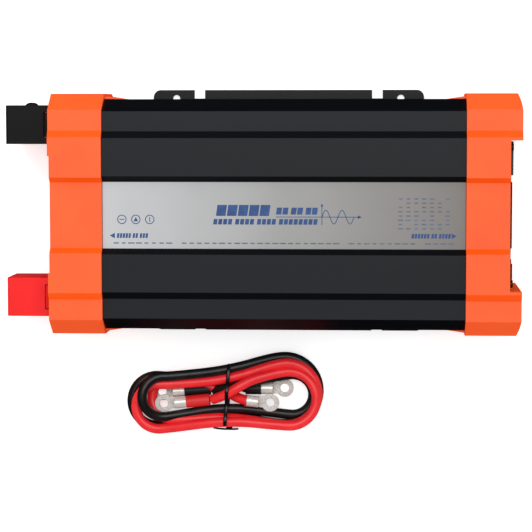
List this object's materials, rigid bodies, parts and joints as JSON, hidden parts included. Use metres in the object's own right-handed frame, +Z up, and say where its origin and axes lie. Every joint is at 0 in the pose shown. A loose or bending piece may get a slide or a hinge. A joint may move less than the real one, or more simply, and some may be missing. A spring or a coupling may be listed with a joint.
{
  "type": "power inverter",
  "caption": "Battery to mains power inverter: a stepped black extrusion between orange end caps, with hinged terminal covers, outlet, switch and a tied pair of ring-lug battery leads.",
  "frame": {"origin": "underside of the mounting plate, at the centre of its four mounting holes", "axes": "+X from the battery end to the mains end, +Y to the rear (negative terminal side), +Z up through the nameplate"},
  "size_m": [0.3786, 0.2629, 0.082],
  "materials": {
    "anodised_housing": "black anodised, satin",
    "plate_coat": "black powder coat, satin",
    "orange_plastic": "moulded orange ABS, fine texture",
    "label_film": "printed silver-grey film, satin",
    "dark_zinc_steel": "black oxide steel, satin",
    "bright_zinc_steel": "zinc plated, satin",
    "brass": "nickel-free brass, satin",
    "copper": "tinned copper, satin",
    "black_plastic": "moulded black nylon, satin",
    "red_plastic": "moulded red nylon, satin",
    "grey_blue_plastic": "moulded grey-blue plastic, satin",
    "rocker_plastic": "moulded dark grey plastic, semi-gloss",
    "green_lens": "tinted lens, gloss",
    "red_lens": "tinted lens, gloss",
    "circuit_laminate": "solder mask, semi-gloss",
    "chip_epoxy": "moulded epoxy, matte",
    "ferrite": "sintered ferrite, matte",
    "enamelled_copper": "enamelled wire, gloss",
    "can_sleeve": "shrunk capacitor sleeve, gloss",
    "fuse_plastic": "tinted fuse bodies, gloss",
    "black_pvc": "soft black PVC jacket, satin",
    "red_pvc": "soft red PVC jacket, satin",
    "tinned_lug": "tinned copper lug, satin",
    "black_nylon_tie": "nylon strap, semi-gloss"
  },
  "bodies": {
    "inverter": {"top_housing": "anodised_housing", "base_housing": "anodised_housing", "mounting_plate": "plate_coat", "mounting_plate_screws": "dark_zinc_steel", "nameplate": "label_film", "battery_end_cap": "orange_plastic", "mains_end_cap": "orange_plastic", "cap_screws": "dark_zinc_steel", "front_fan_frame": "black_plastic", "rear_fan_frame": "black_plastic", "front_heatsink": "anodised_housing", "rear_heatsink": "anodised_housing", "fan_guards": "bright_zinc_steel", "fan_screws": "dark_zinc_steel", "mosfets": "chip_epoxy", "transformer_cores": "ferrite", "transformer_windings": "enamelled_copper", "negative_terminal_base": "black_plastic", "positive_terminal_base": "red_plastic", "negative_bus_bar": "copper", "positive_bus_bar": "copper", "terminal_studs": "brass", "terminal_washers": "brass", "terminal_spring_washers": "bright_zinc_steel", "terminal_nuts": "brass", "cover_pins": "bright_zinc_steel", "mains_panel": "plate_coat", "panel_screws": "dark_zinc_steel", "ground_screw": "bright_zinc_steel", "ground_washer": "bright_zinc_steel", "outlet_body": "black_plastic", "outlet_contacts": "brass", "switch_body": "black_plastic", "usb_module": "grey_blue_plastic", "usb_tongues": "black_plastic", "power_lamp": "green_lens", "fault_lamp": "red_lens", "circuit_board": "circuit_laminate", "board_standoffs": "brass", "board_screws": "bright_zinc_steel", "input_capacitors": "can_sleeve", "bus_capacitors": "can_sleeve", "output_choke": "enamelled_copper", "control_board": "circuit_laminate", "blade_fuses": "fuse_plastic"},
    "negative_cover": {"negative_terminal_cover": "black_plastic"},
    "positive_cover": {"positive_terminal_cover": "red_plastic"},
    "rocker": {"switch_rocker": "rocker_plastic"},
    "front_fan": {"front_fan_rotor": "black_plastic"},
    "rear_fan": {"rear_fan_rotor": "black_plastic"},
    "battery_leads": {"black_lead": "black_pvc", "red_lead": "red_pvc", "black_sleeves": "black_pvc", "red_sleeves": "red_pvc", "black_lug_left": "tinned_lug", "black_lug_right": "tinned_lug", "red_lug_left": "tinned_lug", "red_lug_right": "tinned_lug", "cable_tie": "black_nylon_tie"}
  },
  "joints": [
    {"name": "negative_cover_hinge", "type": "hinge", "parent": "inverter", "child": "negative_cover", "pos_m": [-0.1778, 0.0656, 0.048], "axis": [0, 1, 0], "range_deg": [0, 90]},
    {"name": "positive_cover_hinge", "type": "hinge", "parent": "inverter", "child": "positive_cover", "pos_m": [-0.1778, -0.062, 0.048], "axis": [0, 1, 0], "range_deg": [0, 90]},
    {"name": "power_switch", "type": "hinge", "parent": "inverter", "child": "rocker", "pos_m": [0.1622, -0.0414, 0.051], "axis": [0, 1, 0], "range_deg": [-16, 0]},
    {"name": "front_fan_spin", "type": "hinge", "parent": "inverter", "child": "front_fan", "pos_m": [-0.1571, -0.0212, 0.041], "axis": [1, 0, 0], "continuous": true},
    {"name": "rear_fan_spin", "type": "hinge", "parent": "inverter", "child": "rear_fan", "pos_m": [-0.1571, 0.0212, 0.041], "axis": [1, 0, 0], "continuous": true},
    {"name": "leads_lift", "type": "slide", "parent": "inverter", "child": "battery_leads", "axis": [0, 0, 1], "range_m": [0, 0.1]}
  ]
}
